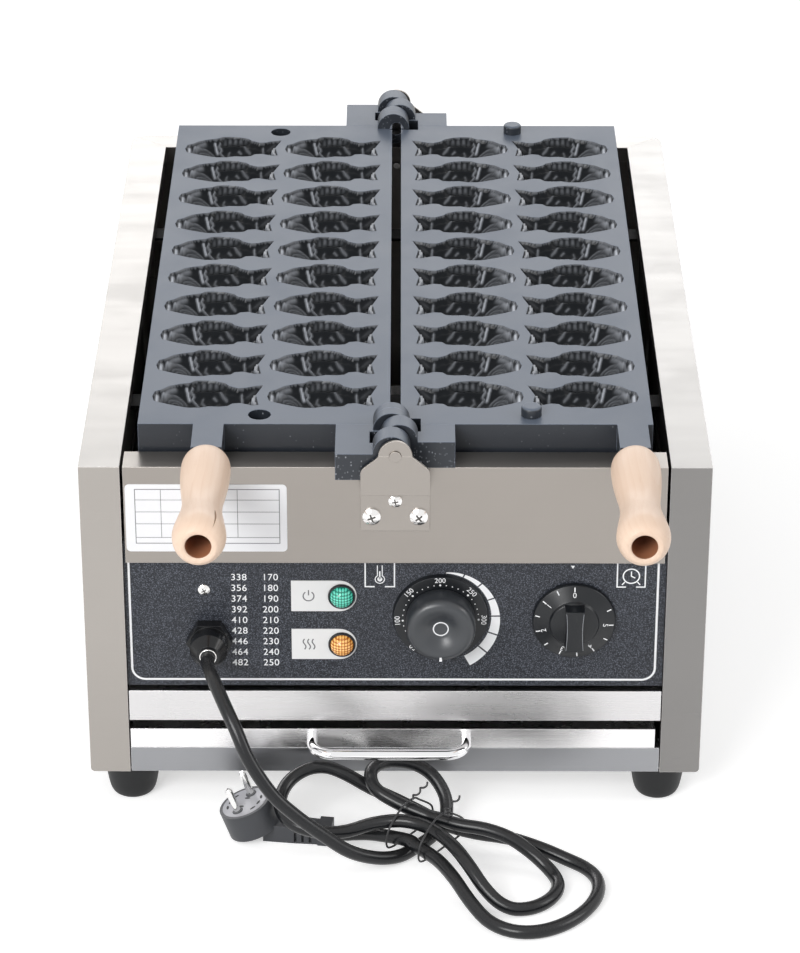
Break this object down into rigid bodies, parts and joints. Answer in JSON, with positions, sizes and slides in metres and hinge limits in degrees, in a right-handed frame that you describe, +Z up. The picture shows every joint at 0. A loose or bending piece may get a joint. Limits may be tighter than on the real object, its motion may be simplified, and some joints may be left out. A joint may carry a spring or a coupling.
{
  "type": "taiyaki maker",
  "caption": "Countertop fish-cake cooker with hinged mould plates, wooden grips, dial controls, crumb tray and power cord.",
  "frame": {"origin": "on the surface it stands on, under the middle of the machine's outline without its cord", "axes": "+X to the right seen from the front, +Y away from the front along the hinge, +Z up"},
  "size_m": [0.414, 0.7479, 0.2907],
  "materials": {
    "casing_steel": "bright polished stainless sheet",
    "inner_steel": "plain sheet",
    "tray_steel": "satin stainless sheet",
    "handle_chrome": "bright chrome",
    "screw_steel": "bright steel",
    "bracket_steel": "satin steel",
    "foot_rubber": "matte black",
    "plate_coating": "cast aluminium under a dark non-stick coating",
    "grip_wood": "turned, clear lacquer",
    "label_paper": "white film",
    "panel_paint": "black with fine light speckle",
    "element_steel": "heat-dulled tube",
    "knob_plastic": "gloss black",
    "body_plastic": "moulded",
    "tag_plastic": "white",
    "green_lens": "clear green, prismatic",
    "amber_lens": "clear amber, prismatic",
    "gland_plastic": "black",
    "terminal_plastic": "natural",
    "cord_sheath": "smooth black sheath",
    "tie_wire": "thin wire",
    "plug_plastic": "dark grey",
    "plug_pin_steel": "bright nickel"
  },
  "bodies": {
    "housing": {"left_side_casing": "casing_steel", "right_side_casing": "casing_steel", "rear_casing": "casing_steel", "base_plate": "inner_steel", "front_cover": "casing_steel", "rating_label": "label_paper", "control_panel": "panel_paint", "front_rail": "casing_steel", "lower_rail": "casing_steel", "tray_runners": "inner_steel", "rubber_feet": "foot_rubber", "foot_screws": "screw_steel", "front_hinge_bracket": "bracket_steel", "rear_hinge_bracket": "bracket_steel", "bracket_screws": "screw_steel", "front_hinge_pin": "bracket_steel", "rear_hinge_pin": "bracket_steel", "left_heating_element": "element_steel", "right_heating_element": "element_steel", "element_supports": "inner_steel", "control_box_wall": "inner_steel", "thermostat_body": "body_plastic", "thermostat_bulb": "element_steel", "thermostat_dial": "knob_plastic", "timer_body": "body_plastic", "lamp_tags": "tag_plastic", "power_lamp_lens": "green_lens", "heat_lamp_lens": "amber_lens", "lamp_bodies": "tag_plastic", "cable_gland": "gland_plastic", "gland_locknut": "gland_plastic", "panel_screw": "screw_steel", "terminal_block": "terminal_plastic", "casing_screws": "screw_steel", "power_cord": "cord_sheath", "cord_hank": "cord_sheath", "cord_tail": "cord_sheath", "cord_ties": "tie_wire", "plug_body": "plug_plastic", "plug_pins": "plug_pin_steel"},
    "left_plate": {"left_mould_plate": "plate_coating", "left_hinge_lugs": "plate_coating", "left_hinge_collars": "plate_coating", "left_handle_rod": "bracket_steel", "left_grip": "grip_wood", "left_grip_nut": "screw_steel"},
    "right_plate": {"right_mould_plate": "plate_coating", "right_hinge_lugs": "plate_coating", "locating_pegs": "plate_coating", "right_handle_rod": "bracket_steel", "right_grip": "grip_wood", "right_grip_nut": "screw_steel"},
    "tray": {"crumb_tray": "tray_steel", "tray_handle": "handle_chrome", "tray_handle_screws": "screw_steel"},
    "thermostat_control": {"thermostat_knob": "knob_plastic", "thermostat_shaft": "bracket_steel"},
    "timer_control": {"timer_knob": "knob_plastic", "timer_shaft": "bracket_steel"}
  },
  "joints": [
    {"name": "left_plate_hinge", "type": "hinge", "parent": "housing", "child": "left_plate", "pos_m": [0, 0, 0.2784], "axis": [0, 1, 0], "range_deg": [0, 180]},
    {"name": "right_plate_hinge", "type": "hinge", "parent": "housing", "child": "right_plate", "pos_m": [0, 0, 0.2784], "axis": [0, 1, 0], "range_deg": [-180, 0]},
    {"name": "crumb_tray_slide", "type": "slide", "parent": "housing", "child": "tray", "axis": [0, -1, 0], "range_m": [0, 0.06]},
    {"name": "thermostat_turn", "type": "hinge", "parent": "housing", "child": "thermostat_control", "pos_m": [0.0303, -0.24, 0.145], "axis": [0, 1, 0], "range_deg": [0, 280]},
    {"name": "timer_turn", "type": "hinge", "parent": "housing", "child": "timer_control", "pos_m": [0.1192, -0.24, 0.143], "axis": [0, 1, 0], "range_deg": [0, 270]}
  ]
}
